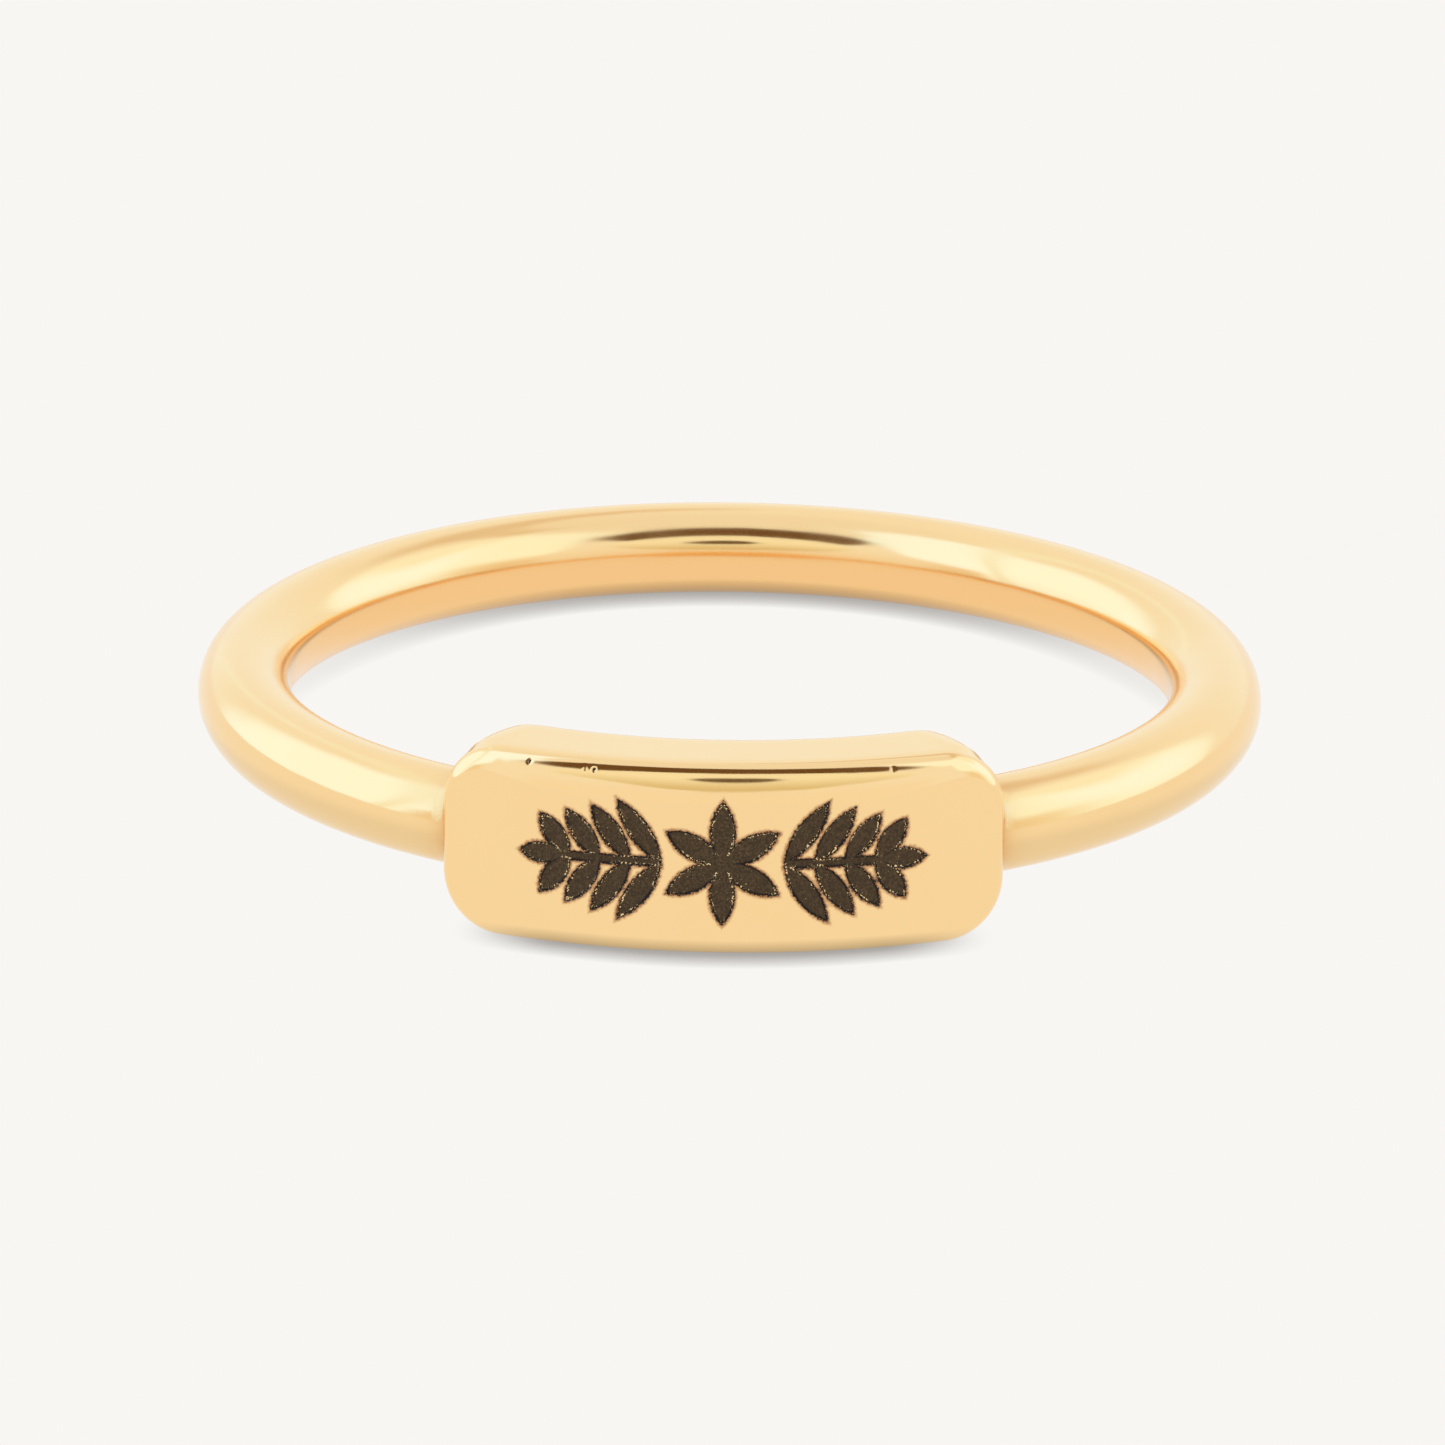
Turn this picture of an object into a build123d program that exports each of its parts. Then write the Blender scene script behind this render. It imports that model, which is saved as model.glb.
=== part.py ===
"""Bar ring lying on its side: a round wire band soldered to a curved bar.

The bar's front carries an engraved ornament, a six-petalled flower between two leafy
sprigs, sunk into the metal and filled with a blackening that stops just below the front.
Lengths are in millimetres. The ring lies on the plane Z = 0 as it comes to rest by itself:
on the lower back edge of the bar, which is taller than the wire, and on the wire opposite.
"""

from build123d import *
from math import asin, atan2, cos, degrees, hypot, radians, sin, sqrt, tan
import os

os.makedirs("parts", exist_ok=True)

# Driving sizes of the metal
finger_hole_diameter = 17.0
wire_diameter = 1.81
bar_length = 11.26  # along the curve of its front
bar_height = 3.72
bar_thickness = 2.12
bar_back_proud = 0.06  # the bar's back stands in from the wire, which buries the wire's ends
bar_corner_radius = 1.2
front_roll_height = 1.05  # how far the polished roll reaches in from the bar's outline
front_roll_depth = 0.4  # how far the roll falls back from the front
comfort_radius = 0.45  # rounding of the edges that meet the finger
solder_overlap = 1.3  # how far the wire runs into each end of the bar

# Driving sizes of the engraving
engraving_depth = 0.3
blackening_below_front = 0.1
blackening_clearance = 0.02
petal_count = 6
petal_length = 1.2
petal_width = 0.46
stem_start = 1.15  # from the middle of the bar
stem_end = 3.1
stem_width = 0.17
leaf_pairs = 4
leaf_length = 1.42  # the longest pair, next to the flower
leaf_shortening = 0.16  # each pair is this much shorter than the one before
leaf_width = 0.4
leaf_pitch = 0.57
leaf_angle = 55.0  # from the stem, in degrees
tip_leaf_length = 0.85

# Sizes that follow
hole_radius = finger_hole_diameter / 2
wire_radius = wire_diameter / 2
wire_path_radius = hole_radius + wire_radius
bar_back_radius = hole_radius - bar_back_proud
bar_front_radius = bar_back_radius + bar_thickness
bar_half_angle = degrees(bar_length / 2 / bar_front_radius)
wire_end_angle = bar_half_angle - degrees(solder_overlap / wire_path_radius)

# The roll is two arcs, a wide one next to the front and a tight one next to the sides.
# Both are roundings of one slanted cut, and together they take up nearly all of it.
roll_slant = 22.0  # angle between the front and the slanted cut, in degrees
roll_share = 0.96
roll_cut_height = (front_roll_height + front_roll_depth) / (
    1 + tan(radians(roll_slant)) + roll_share / cos(radians(roll_slant))
)
roll_cut_depth = roll_cut_height * tan(radians(roll_slant))
wide_roll_radius = (front_roll_height - roll_cut_height) / tan(radians(roll_slant / 2))
tight_roll_radius = (front_roll_depth - roll_cut_depth) / tan(radians(45 - roll_slant / 2))


def resting_tilt():
    """Angle in degrees at which a floor touches the bar's lower back edge and the wire.

    Seen from the side both are circles: the rounding of the bar's back edge where its
    corner begins, and the wire's section at the far side of the ring.
    """
    edge_radius = bar_back_radius + comfort_radius
    corner_angle = radians(bar_half_angle) - asin(bar_corner_radius / edge_radius)
    reach = wire_path_radius + edge_radius * cos(corner_angle)
    drop = bar_height / 2 - comfort_radius
    slope = atan2(drop, reach) - asin((wire_radius - comfort_radius) / hypot(reach, drop))
    return degrees(slope)


tilt = radians(resting_tilt())
ring_plane = Plane(
    origin=(0, 0, wire_radius + wire_path_radius * sin(tilt)),
    x_dir=(1, 0, 0),
    z_dir=(0, sin(tilt), cos(tilt)),
)
ring_axis = Axis(ring_plane.origin, ring_plane.z_dir)
# Plane of the wire's end inside the bar: X points away from the axis, Y along it
wire_end_turn = radians(wire_end_angle - 90)
wire_end_plane = Plane(
    origin=ring_plane.origin,
    x_dir=ring_plane.x_dir * cos(wire_end_turn) + ring_plane.y_dir * sin(wire_end_turn),
    z_dir=ring_plane.x_dir * sin(wire_end_turn) - ring_plane.y_dir * cos(wire_end_turn),
)
# The engraver's view of the bar: X to the right, Y up, Z out towards the eye
front_plane = Plane(
    origin=ring_plane.from_local_coords((0, -bar_front_radius, 0)),
    x_dir=ring_plane.x_dir,
    z_dir=-ring_plane.y_dir,
)


def from_axis(point):
    """Distance of a point from the ring's axis."""
    local = ring_plane.to_local_coords(point)
    return hypot(local.X, local.Y)


def height_of(point):
    """Height of a point over the ring's middle plane."""
    return ring_plane.to_local_coords(point).Z


def leaf(length, width, inset):
    """Pointed leaf from the origin along +X between two equal arcs, drawn in by inset."""
    arc_radius = (length**2 + width**2) / (4 * width)
    arc_offset = arc_radius - width / 2
    half = sqrt((arc_radius - inset) ** 2 - arc_offset**2)
    start, middle, end = length / 2 - half, length / 2, length / 2 + half
    side = width / 2 - inset
    with BuildSketch() as outline:
        with BuildLine():
            ThreePointArc((start, 0), (middle, side), (end, 0))
            ThreePointArc((end, 0), (middle, -side), (start, 0))
        make_face()
    return outline.sketch


def flower(inset):
    """Petals that all start at the middle of the bar, fused by a small disc."""
    petal = leaf(petal_length, petal_width, inset)
    with BuildSketch() as petals:
        Circle(petal_width / 2 - inset)
        with PolarLocations(0, petal_count, start_angle=90):
            add(petal)
    return petals.sketch


def sprig(inset, turn):
    """Stem with pairs of leaves and a tip leaf, along +X and then turned about the middle."""
    blades = [
        leaf(leaf_length - i * leaf_shortening, leaf_width, inset) for i in range(leaf_pairs)
    ]
    tip = leaf(tip_leaf_length, leaf_width, inset)
    with BuildSketch() as branch:
        with Locations(((stem_start + stem_end) / 2, 0)):
            Rectangle(stem_end - stem_start - 2 * inset, stem_width - 2 * inset)
        for i, blade in enumerate(blades):
            for side in (1, -1):
                with Locations(Location((stem_start + i * leaf_pitch, 0), side * leaf_angle)):
                    add(blade)
        with Locations((stem_end - stem_width, 0)):
            add(tip)
    with BuildSketch() as turned:
        add(branch.sketch, rotation=turn)
    return turned.sketch


def ornaments(inset):
    """The engraved outlines by name, seen from the front and drawn in by inset."""
    return {
        "flower": flower(inset),
        "sprig_left": sprig(inset, 180),
        "sprig_right": sprig(inset, 0),
    }


def sunk(outline, floor_radius, top_radius):
    """Solid with the given outline from the front, between two radii about the ring's axis."""
    with BuildPart() as solid:
        with BuildSketch(front_plane):
            add(outline)
        extrude(amount=-bar_front_radius)
        with BuildSketch(ring_plane.offset(-bar_height / 2)):
            Circle(top_radius)
            Circle(floor_radius, mode=Mode.SUBTRACT)
        extrude(amount=bar_height, mode=Mode.INTERSECT)
    return solid.part


# Engraved recesses, open at the front
recess_floor = bar_front_radius - engraving_depth
recess_mouth = bar_front_radius + engraving_depth
recesses = [sunk(outline, recess_floor, recess_mouth) for outline in ornaments(0).values()]

# Ring: bar and wire, soldered into one solid
with BuildPart() as ring:
    with BuildSketch(ring_plane.offset(-bar_height / 2)):
        with BuildLine():
            bar_span = (-90 - bar_half_angle, 2 * bar_half_angle)
            front = CenterArc((0, 0), bar_front_radius, *bar_span)
            back = CenterArc((0, 0), bar_back_radius, *bar_span)
            Line(front @ 0, back @ 0)
            Line(front @ 1, back @ 1)
        make_face()
    extrude(amount=bar_height)

    # Corners of the bar, rounded about the lines that run through its thickness
    through_edges = ring.edges().filter_by(GeomType.LINE).filter_by(
        lambda edge: abs(height_of(edge @ 0) - height_of(edge @ 1)) < bar_height / 2
    )
    fillet(through_edges, bar_corner_radius)

    # Polished roll round the front: a slanted cut, then a rounding on each of its sides
    front_face = ring.faces().filter_by(GeomType.CYLINDER).sort_by(lambda face: face.radius)[-1]
    chamfer(front_face.edges(), roll_cut_height, roll_cut_depth, reference=front_face)
    front_face = ring.faces().filter_by(GeomType.CYLINDER).sort_by(lambda face: face.radius)[-1]
    fillet(front_face.edges(), wide_roll_radius)
    side_edges = ring.edges().filter_by(
        lambda edge: abs(bar_front_radius - roll_cut_depth - from_axis(edge @ 0.5))
        < roll_cut_depth / 10
    )
    fillet(side_edges, tight_roll_radius)

    # Softer edges against the finger
    back_face = ring.faces().filter_by(GeomType.CYLINDER).filter_by(
        lambda face: abs(face.radius - bar_back_radius) < comfort_radius / 10
    )
    fillet(back_face.edges(), comfort_radius)

    # Wire, bent round the finger from one end of the bar to the other
    with BuildSketch(wire_end_plane):
        with Locations((wire_path_radius, 0)):
            Circle(wire_radius)
    revolve(axis=ring_axis, revolution_arc=360 - 2 * wire_end_angle)

    for recess in recesses:
        add(recess, mode=Mode.SUBTRACT)

ring.part.label = "ring"
export_step(ring.part, "parts/ring.step")

# Blackening of each recess, clear of its walls and floor
blackening_floor = recess_floor + blackening_clearance
blackening_top = bar_front_radius - blackening_below_front
for ornament, outline in ornaments(blackening_clearance).items():
    with BuildPart() as blackening:
        add(sunk(outline, blackening_floor, blackening_top))
    blackening.part.label = f"blackening_{ornament}"
    export_step(blackening.part, f"parts/{blackening.part.label}.step")
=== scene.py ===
"""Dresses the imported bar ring: polished gold plate, an engraved and blackened front, and a
pale studio.

The sidebar's sizes are in metres, as in Blender. The shapes are worked out in millimetres in
the ring's own frame, with the ring's axis along Z and the bar towards -Y, and are then laid
down as the ring rests on the floor.
"""

import math

import bpy
import numpy as np
from bpy.props import FloatProperty, FloatVectorProperty, IntProperty, PointerProperty
from bpy.types import Operator, Panel, PropertyGroup
from mathutils import Euler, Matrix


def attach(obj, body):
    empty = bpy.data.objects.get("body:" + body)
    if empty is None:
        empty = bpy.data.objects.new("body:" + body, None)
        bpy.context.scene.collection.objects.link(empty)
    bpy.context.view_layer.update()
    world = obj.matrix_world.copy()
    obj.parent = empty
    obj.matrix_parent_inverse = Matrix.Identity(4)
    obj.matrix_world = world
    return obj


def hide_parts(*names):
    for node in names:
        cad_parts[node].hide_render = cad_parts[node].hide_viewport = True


bl_info = {
    "name": "Bar Ring",
    "version": (1, 0, 0),
    "blender": (4, 5, 0),
    "location": "3D View > Sidebar > Bar Ring",
    "description": "Builds the looks of an engraved bar ring round its packed model",
    "category": "Object",
}

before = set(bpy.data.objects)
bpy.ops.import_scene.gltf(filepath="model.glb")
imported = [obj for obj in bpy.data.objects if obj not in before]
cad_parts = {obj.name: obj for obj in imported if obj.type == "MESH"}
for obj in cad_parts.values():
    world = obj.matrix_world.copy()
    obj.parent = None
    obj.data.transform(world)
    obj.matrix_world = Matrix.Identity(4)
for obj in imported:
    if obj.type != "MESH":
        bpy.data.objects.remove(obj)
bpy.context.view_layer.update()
MM = 0.001  # metres

# Marks along the front's upper edge, in millimetres: place along the bar, distance in from the
# outline, width and depth. The two deep ones are pits, the two shallow ones dents.
NICKS = (
    (-3.68, 0.17, 0.032, 0.014),
    (-2.62, 0.19, 0.045, 0.005),
    (-2.45, 0.19, 0.035, 0.016),
    (3.2, 0.17, 0.04, 0.005),
)
# More lengths in millimetres
PIT_DEPTH = 0.006  # a mark that is deeper than this holds blackening
RIM_WEAR = 0.006  # how far polishing has worn the engraving's rims down
FRONT_CELL = 0.0245  # grid spacing on the bar's front
FILL_CELL = 0.021  # grid spacing on the blackening
SEAM_FADE = 0.2  # the duller plate beside the solder fades to a third over this
FRONT_SOOT = 0.1  # how far from the engraving the front can be stained
WALL_SOOT = 0.06  # how far from its walls the blackening is thicker

# The camera and the floor, in metres
CAMERA_PLACE = (0.0018566, -0.2107295, 0.0821063)
CAMERA_TURN = (68.88595, -0.62823, 0.78289)  # degrees about X, Y and Z
CAMERA_LENS, CAMERA_SENSOR = 289.657, 36.0  # millimetres
FLOOR_REACH = 2.0  # from the ring to the floor's sides


def length(name, description, default):
    """A length property in metres."""
    return FloatProperty(
        name=name, description=description, default=default, unit="LENGTH", precision=5
    )


def colour(name, description, hex_code):
    """A colour property whose default is an sRGB hex value turned to linear."""
    return FloatVectorProperty(
        name=name, description=description, default=linear(hex_code), size=3,
        subtype="COLOR", min=0.0, max=1.0,
    )


def linear(hex_code):
    """sRGB hex to linear: c / 12.92 below 0.04045, else ((c + 0.055) / 1.055) to the 2.4."""
    channels = [int(hex_code[i : i + 2], 16) / 255 for i in (1, 3, 5)]
    return [c / 12.92 if c <= 0.04045 else ((c + 0.055) / 1.055) ** 2.4 for c in channels]


class MetalSizes(PropertyGroup):
    """Sizes of the wire and the bar. All are as in the part's source but the corners' swell
    and the solder's run and height, which are only here."""

    hole_diameter: length("Finger Hole", "Inside diameter of the wire band", 0.017)
    wire_diameter: length("Wire", "Diameter of the wire", 0.00181)
    bar_length: length("Bar Length", "Length of the bar along its front", 0.01126)
    bar_height: length("Bar Height", "Height of the bar along the ring's axis", 0.00372)
    bar_thickness: length("Bar Thickness", "Thickness of the bar at its middle", 0.00212)
    back_proud: length("Back Proud", "How far the bar's back stands in from the wire", 0.00006)
    corner_radius: length("Corner", "Radius of the bar's corners", 0.0012)
    corner_swell: length("Corner Swell", "How far the hand-filed corners swell", 0.00024)
    roll_height: length("Roll Height", "How far the front's roll reaches in", 0.00105)
    roll_depth: length("Roll Depth", "How far the roll falls back", 0.0004)
    comfort_radius: length("Comfort", "Rounding of the edges at the finger", 0.00045)
    solder_overlap: length("Overlap", "How far the wire runs into the bar", 0.0013)
    solder_run: length("Solder Run", "How far the solder runs along the wire", 0.0003)
    solder_height: length("Solder Height", "Thickness of the solder at the bar", 0.00012)


class EngravingSizes(PropertyGroup):
    """Sizes of the engraved flower and sprigs and of their blackening."""

    depth: length("Depth", "Depth of the engraving", 0.0003)
    wall_run: length("Wall Run", "Width of the sloping wall, seen from the front", 0.00006)
    rim_radius: length("Rim", "Width of the rim worn round by polishing", 0.00004)
    fill_below: length("Fill Below", "How far the blackening lies under the front", 0.00006)
    petal_count: IntProperty(name="Petals", description="Petals of the flower", default=6)
    petal_length: length("Petal Length", "Length of a petal", 0.0012)
    petal_width: length("Petal Width", "Width of a petal", 0.00046)
    stem_start: length("Stem Start", "From the bar's middle to the stem", 0.00115)
    stem_end: length("Stem End", "From the bar's middle to the stem's tip", 0.0031)
    stem_width: length("Stem Width", "Width of the stem", 0.00017)
    leaf_pairs: IntProperty(name="Leaf Pairs", description="Pairs of leaves on a sprig", default=4)
    leaf_length: length("Leaf Length", "Length of the longest leaves", 0.00142)
    leaf_shortening: length("Leaf Shortening", "Each pair is this much shorter", 0.00016)
    leaf_width: length("Leaf Width", "Width of a leaf", 0.0004)
    leaf_pitch: length("Leaf Pitch", "From one pair of leaves to the next", 0.00057)
    leaf_angle: FloatProperty(
        name="Leaf Angle", description="Between a leaf and the stem",
        default=math.radians(55), subtype="ANGLE",
    )
    tip_leaf_length: length("Tip Leaf", "Length of the leaf at the tip", 0.00085)


class FinishColours(PropertyGroup):
    """Colours of the metal, the blackening and the floor."""

    gold: colour("Gold", "Polished yellow gold plate", "#ffdda4")
    gold_deep: colour("Deep Gold", "Slightly deeper tone of the plate", "#feda9f")
    stain: colour("Stain", "Thin blackening over gold beside the engraving", "#a86c42")
    # Painted shade on the finger's side of the plate
    inside: colour("Inside", "Deeper tone of the plate on the finger's side", "#fbcc8d")
    # Painted shade on the wire's outer underside
    under: colour("Underside", "Tone of the plate where the wire is least polished", "#f2d19a")
    # Partly the joint's own deeper gold, partly painted shade in the joint's hollow
    lap_and_shade: colour("Lap", "Deeper gold beside the solder, where the wheel does not reach", "#dc9c50")
    oxide: colour("Blackening", "Brown-black oxide in the engraving", "#3f301c")
    oxide_rim: colour("Blackening Rim", "Thick oxide in the corner under the rim", "#1c120a")
    oxide_dust: colour("Blackening Dust", "Lighter grains of the oxide", "#6b5236")
    floor: colour("Floor", "Lit white acrylic under the ring", "#f8f6f3")
    # Painted contact shadow: the floor's glow is darkened towards this near the ring
    painted_contact_shadow: colour("Contact", "The same where the ring stands close over it", "#a4a09c")


def smooth(share):
    """A smooth step from 0 to 1 as share goes from 0 to 1."""
    share = np.clip(share, 0, 1)
    return share * share * (3 - 2 * share)


def quarter(share):
    """Height of a hollow quarter circle, 1 - sqrt(1 - (1 - share) squared): 1 at the foot of
    its upright side, where share is 0, and 0 from where it has levelled out, at 1."""
    return 1 - np.sqrt(1 - (1 - np.clip(share, 0, 1)) ** 2)


class RingShape:
    """The ring's geometry in millimetres in its own frame, and the way it lies on the floor."""

    def __init__(self, sizes):
        self.hole_radius = sizes.hole_diameter / MM / 2
        self.wire_radius = sizes.wire_diameter / MM / 2
        self.path_radius = self.hole_radius + self.wire_radius
        self.back_radius = self.hole_radius - sizes.back_proud / MM
        self.front_radius = self.back_radius + sizes.bar_thickness / MM
        self.half_turn = sizes.bar_length / MM / 2 / self.front_radius
        self.half_height = sizes.bar_height / MM / 2
        self.corner = sizes.corner_radius / MM
        self.corner_swell = sizes.corner_swell / MM
        self.roll_height = sizes.roll_height / MM
        self.roll_depth = sizes.roll_depth / MM
        self.comfort = sizes.comfort_radius / MM
        self.overlap = sizes.solder_overlap / MM
        self.solder_run = sizes.solder_run / MM
        self.solder_height = sizes.solder_height / MM
        self.tilt = self.resting_tilt()
        self.centre_height = self.wire_radius + self.path_radius * math.sin(self.tilt)

    def resting_tilt(self):
        """The floor touches two circles seen from the side: the wire's section at the back, and
        the rounding of the bar's lower back edge where its corner begins."""
        edge_radius = self.back_radius + self.comfort
        corner_turn = self.half_turn - math.asin(self.corner / edge_radius)
        reach = self.path_radius + edge_radius * math.cos(corner_turn)
        drop = self.half_height - self.comfort
        lift = math.asin((self.wire_radius - self.comfort) / math.hypot(reach, drop))
        return math.atan2(drop, reach) - lift

    def laid_down(self, points):
        """Turns points about X by the resting tilt, lifts them, and changes them to metres."""
        c, s = math.cos(self.tilt), math.sin(self.tilt)
        x, y, z = points[..., 0], points[..., 1], points[..., 2]
        turned = np.stack([x, y * c + z * s, z * c - y * s + self.centre_height], axis=-1)
        return turned * MM

    def roll_reach(self, x):
        """How far the roll reaches in at a place along the bar. It is hand-finished, and falls
        to half towards the bar's corners and to a third round them."""
        falls = 0.5 * smooth((np.abs(x) - 2.4) / 2.2) + 0.17 * smooth((np.abs(x) - 4.1) / 0.9)
        return self.roll_height * (1 - falls)

    def roll(self, inset, x):
        """Depth of the front's roll at a distance in from the outline: a quarter of an ellipse,
        and nothing further in."""
        return self.roll_depth * quarter(inset / self.roll_reach(x))

    def inset(self, from_end, z):
        """Distance in from the bar's rounded outline. from_end is the distance from the end's
        plane and z the height: round a corner it is the radius less the distance from the
        corner's centre, elsewhere the distance to the nearer side."""
        high = np.abs(z) - (self.half_height - self.corner)
        along = self.corner - from_end
        round_corner = (high > 0) & (along > 0)
        straight = np.minimum(from_end, self.half_height - np.abs(z))
        return np.where(round_corner, self.corner - np.hypot(high, along), straight)

    def turn(self, from_end, radius):
        """Angle from the bar's middle of a point at a distance from the end's plane: the end's
        angle less asin(distance / radius). Away from the ends it fades, over two millimetres,
        to the same angle at every radius, so that the bar's middle is plain columns."""
        at_front = np.arcsin(from_end / self.front_radius)
        fade = 1 - smooth((from_end - self.corner) / 2)
        return self.half_turn - at_front - fade * (np.arcsin(from_end / radius) - at_front)

    def on_bar(self, from_end, z, radius, side):
        """Point of the bar: radius x (side x sin(turn), -cos(turn)) and the height z."""
        turn = self.turn(from_end, radius)
        return np.stack([side * radius * np.sin(turn), -radius * np.cos(turn), z], axis=-1)


def leaf_distance(x, z, start, angle, leaf_length, leaf_width):
    """Signed distance to a pointed leaf between two equal arcs, negative inside. The leaf is
    where two discs overlap, so it is the larger distance from their centres less their radius."""
    c, s = math.cos(angle), math.sin(angle)
    along = (x - start) * c + z * s - leaf_length / 2
    across = z * c - (x - start) * s
    radius = (leaf_length**2 + leaf_width**2) / (4 * leaf_width)
    offset = radius - leaf_width / 2
    return np.hypot(along, np.abs(across) + offset) - radius


def flower_distance(x, z, cut):
    """Signed distance to the petals, which turn about the middle, and to their small disc."""
    petal_length, petal_width = cut.petal_length / MM, cut.petal_width / MM
    shapes = [np.hypot(x, z) - petal_width / 2]
    for i in range(cut.petal_count):
        angle = math.pi / 2 + i * 2 * math.pi / cut.petal_count
        shapes.append(leaf_distance(x, z, 0, angle, petal_length, petal_width))
    return np.minimum.reduce(shapes)


def sprig_distance(x, z, cut):
    """Signed distance to a stem with pairs of leaves and a tip leaf, along +X."""
    start, end = cut.stem_start / MM, cut.stem_end / MM
    stem_width, leaf_width = cut.stem_width / MM, cut.leaf_width / MM
    middle = (start + end) / 2
    stem = np.maximum(np.abs(x - middle) - (end - start) / 2, np.abs(z) - stem_width / 2)
    tip_length = cut.tip_leaf_length / MM
    shapes = [stem, leaf_distance(x, z, end - stem_width, 0, tip_length, leaf_width)]
    for i in range(cut.leaf_pairs):
        root = start + i * cut.leaf_pitch / MM
        leaf_length = (cut.leaf_length - i * cut.leaf_shortening) / MM
        for angle in (cut.leaf_angle, -cut.leaf_angle):
            shapes.append(leaf_distance(x, z, root, angle, leaf_length, leaf_width))
    return np.minimum.reduce(shapes)


ORNAMENTS = {
    "flower": flower_distance,
    "sprig_left": lambda x, z, cut: sprig_distance(-x, z, cut),
    "sprig_right": sprig_distance,
}


def grain(x, z, size, seed):
    """Smooth unevenness between -1 and 1: eight sine waves of about one wavelength, in
    directions and phases drawn from a seeded generator, added and divided by five."""
    random = np.random.default_rng(seed)
    total = np.zeros_like(x)
    waves = 8
    for angle, phase, stretch in zip(
        random.uniform(0, math.pi, waves),
        random.uniform(0, 2 * math.pi, waves),
        random.uniform(0.7, 1.5, waves),
    ):
        wave = (x * math.cos(angle) + z * math.sin(angle)) * 2 * math.pi / (size * stretch)
        total += np.sin(wave + phase)
    return np.clip(total / 5, -1, 1)


def ragged(distance, x, z):
    """The cutter's edge wanders by a hundredth of a millimetre or so, in waves of 0.13 and
    0.06 mm."""
    return distance + 0.011 * grain(x, z, 0.13, 3) + 0.008 * grain(x, z, 0.06, 4)


def cut_distance(x, z, cut):
    """Signed distance in millimetres to the nearest engraved outline, with its ragged edge."""
    return ragged(np.minimum.reduce([f(x, z, cut) for f in ORNAMENTS.values()]), x, z)


def recess(distance, cut):
    """Depth of the engraving: a smooth step over the wall's run, down from the rim, and a
    shallow dip of the rim itself where the polishing has worn it."""
    wall = smooth(-distance / (cut.wall_run / MM))
    worn = np.exp(-np.abs(distance) / (cut.rim_radius / MM) * 1.5) * RIM_WEAR
    return cut.depth / MM * wall + worn


def nicks(x, z, shape):
    """Depth of the pits and dents along the front's upper edge: a bell curve about the middle
    of each, added."""
    total = np.zeros_like(x)
    for along, inset, width, depth in NICKS:
        away_squared = (x - along) ** 2 + (z - shape.half_height + inset) ** 2
        total += depth * np.exp(-away_squared / width**2)
    return total


def add_mesh(name, points, faces):
    """A smooth mesh object from points in metres and a list of arrays of faces, each face with
    three or more corners."""
    mesh = bpy.data.meshes.new(name)
    mesh.from_pydata(points.tolist(), [], [face for group in faces for face in group.tolist()])
    mesh.update()
    mesh.shade_smooth()
    piece = bpy.data.objects.new(name, mesh)
    bpy.context.scene.collection.objects.link(piece)
    return piece


def add_attribute(piece, name, values):
    """A number on each point of a piece, for its material to read."""
    attribute = piece.data.attributes.new(name, "FLOAT", "POINT")
    attribute.data.foreach_set("value", np.asarray(values, dtype=np.float32))


def grid_faces(rows, columns, closed=False):
    """Quads of a grid whose points are numbered along its rows. closed joins each row's ends."""
    places = np.arange(columns if closed else columns - 1)
    j, i = np.meshgrid(np.arange(rows - 1), places, indexing="ij")
    here, above, right = j * columns, (j + 1) * columns, (i + 1) % columns
    quads = [here + i, here + right, above + right, above + i]
    return np.stack(quads, axis=-1).reshape(-1, 4)


def front_patch(shape, cut):
    """Grid of the bar's front inside the steep part of its roll: distance from the end's plane,
    height, side and lean, with a row for each height and a column for each place along the bar.
    The lean is a column's direction round the corner, from upright to a right angle at the end.

    Columns are even over the engraving and follow the corner's arc at each end. Each column's
    points share out its height between the outline's inset edges."""
    edge = shape.comfort
    coarse_columns, corner_columns = 12, 19
    # From the middle to a little past the engraving
    fine_end = cut.stem_end / MM + cut.tip_leaf_length / MM + 0.1
    fine = np.linspace(0, fine_end, round(fine_end / FRONT_CELL) + 1)
    from_end = shape.front_radius * np.sin(shape.half_turn - fine / shape.front_radius)
    coarse = np.linspace(from_end[-1], shape.corner, coarse_columns)[1:]
    arc = np.linspace(0, math.pi / 2, corner_columns)[1:]
    radius = shape.corner - edge
    from_end = np.concatenate([from_end, coarse, shape.corner - radius * np.sin(arc)])
    top = np.full(from_end.shape, shape.half_height - edge)
    top[-len(arc):] = shape.half_height - shape.corner + radius * np.cos(arc)
    lean = np.concatenate([np.zeros(len(from_end) - len(arc)), arc])
    # So far the right half, from the middle column out. The left one is its mirror image.
    side = np.concatenate([-np.ones(len(from_end) - 1), np.ones(len(from_end))])
    from_end, top, lean = [np.concatenate([a[:0:-1], a]) for a in (from_end, top, lean)]
    rows = 2 * round((shape.half_height - edge) / FRONT_CELL) + 1
    every_row = np.ones((rows, 1))
    z = np.linspace(-1, 1, rows)[:, None] * top
    return from_end * every_row, z, side * every_row, lean * every_row


def ring_of(array):
    """The border of a grid as one loop: bottom row, right column, top row back, left column."""
    return np.concatenate([array[0, :-1], array[:-1, -1], array[-1, :0:-1], array[:0:-1, 0]])


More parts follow.
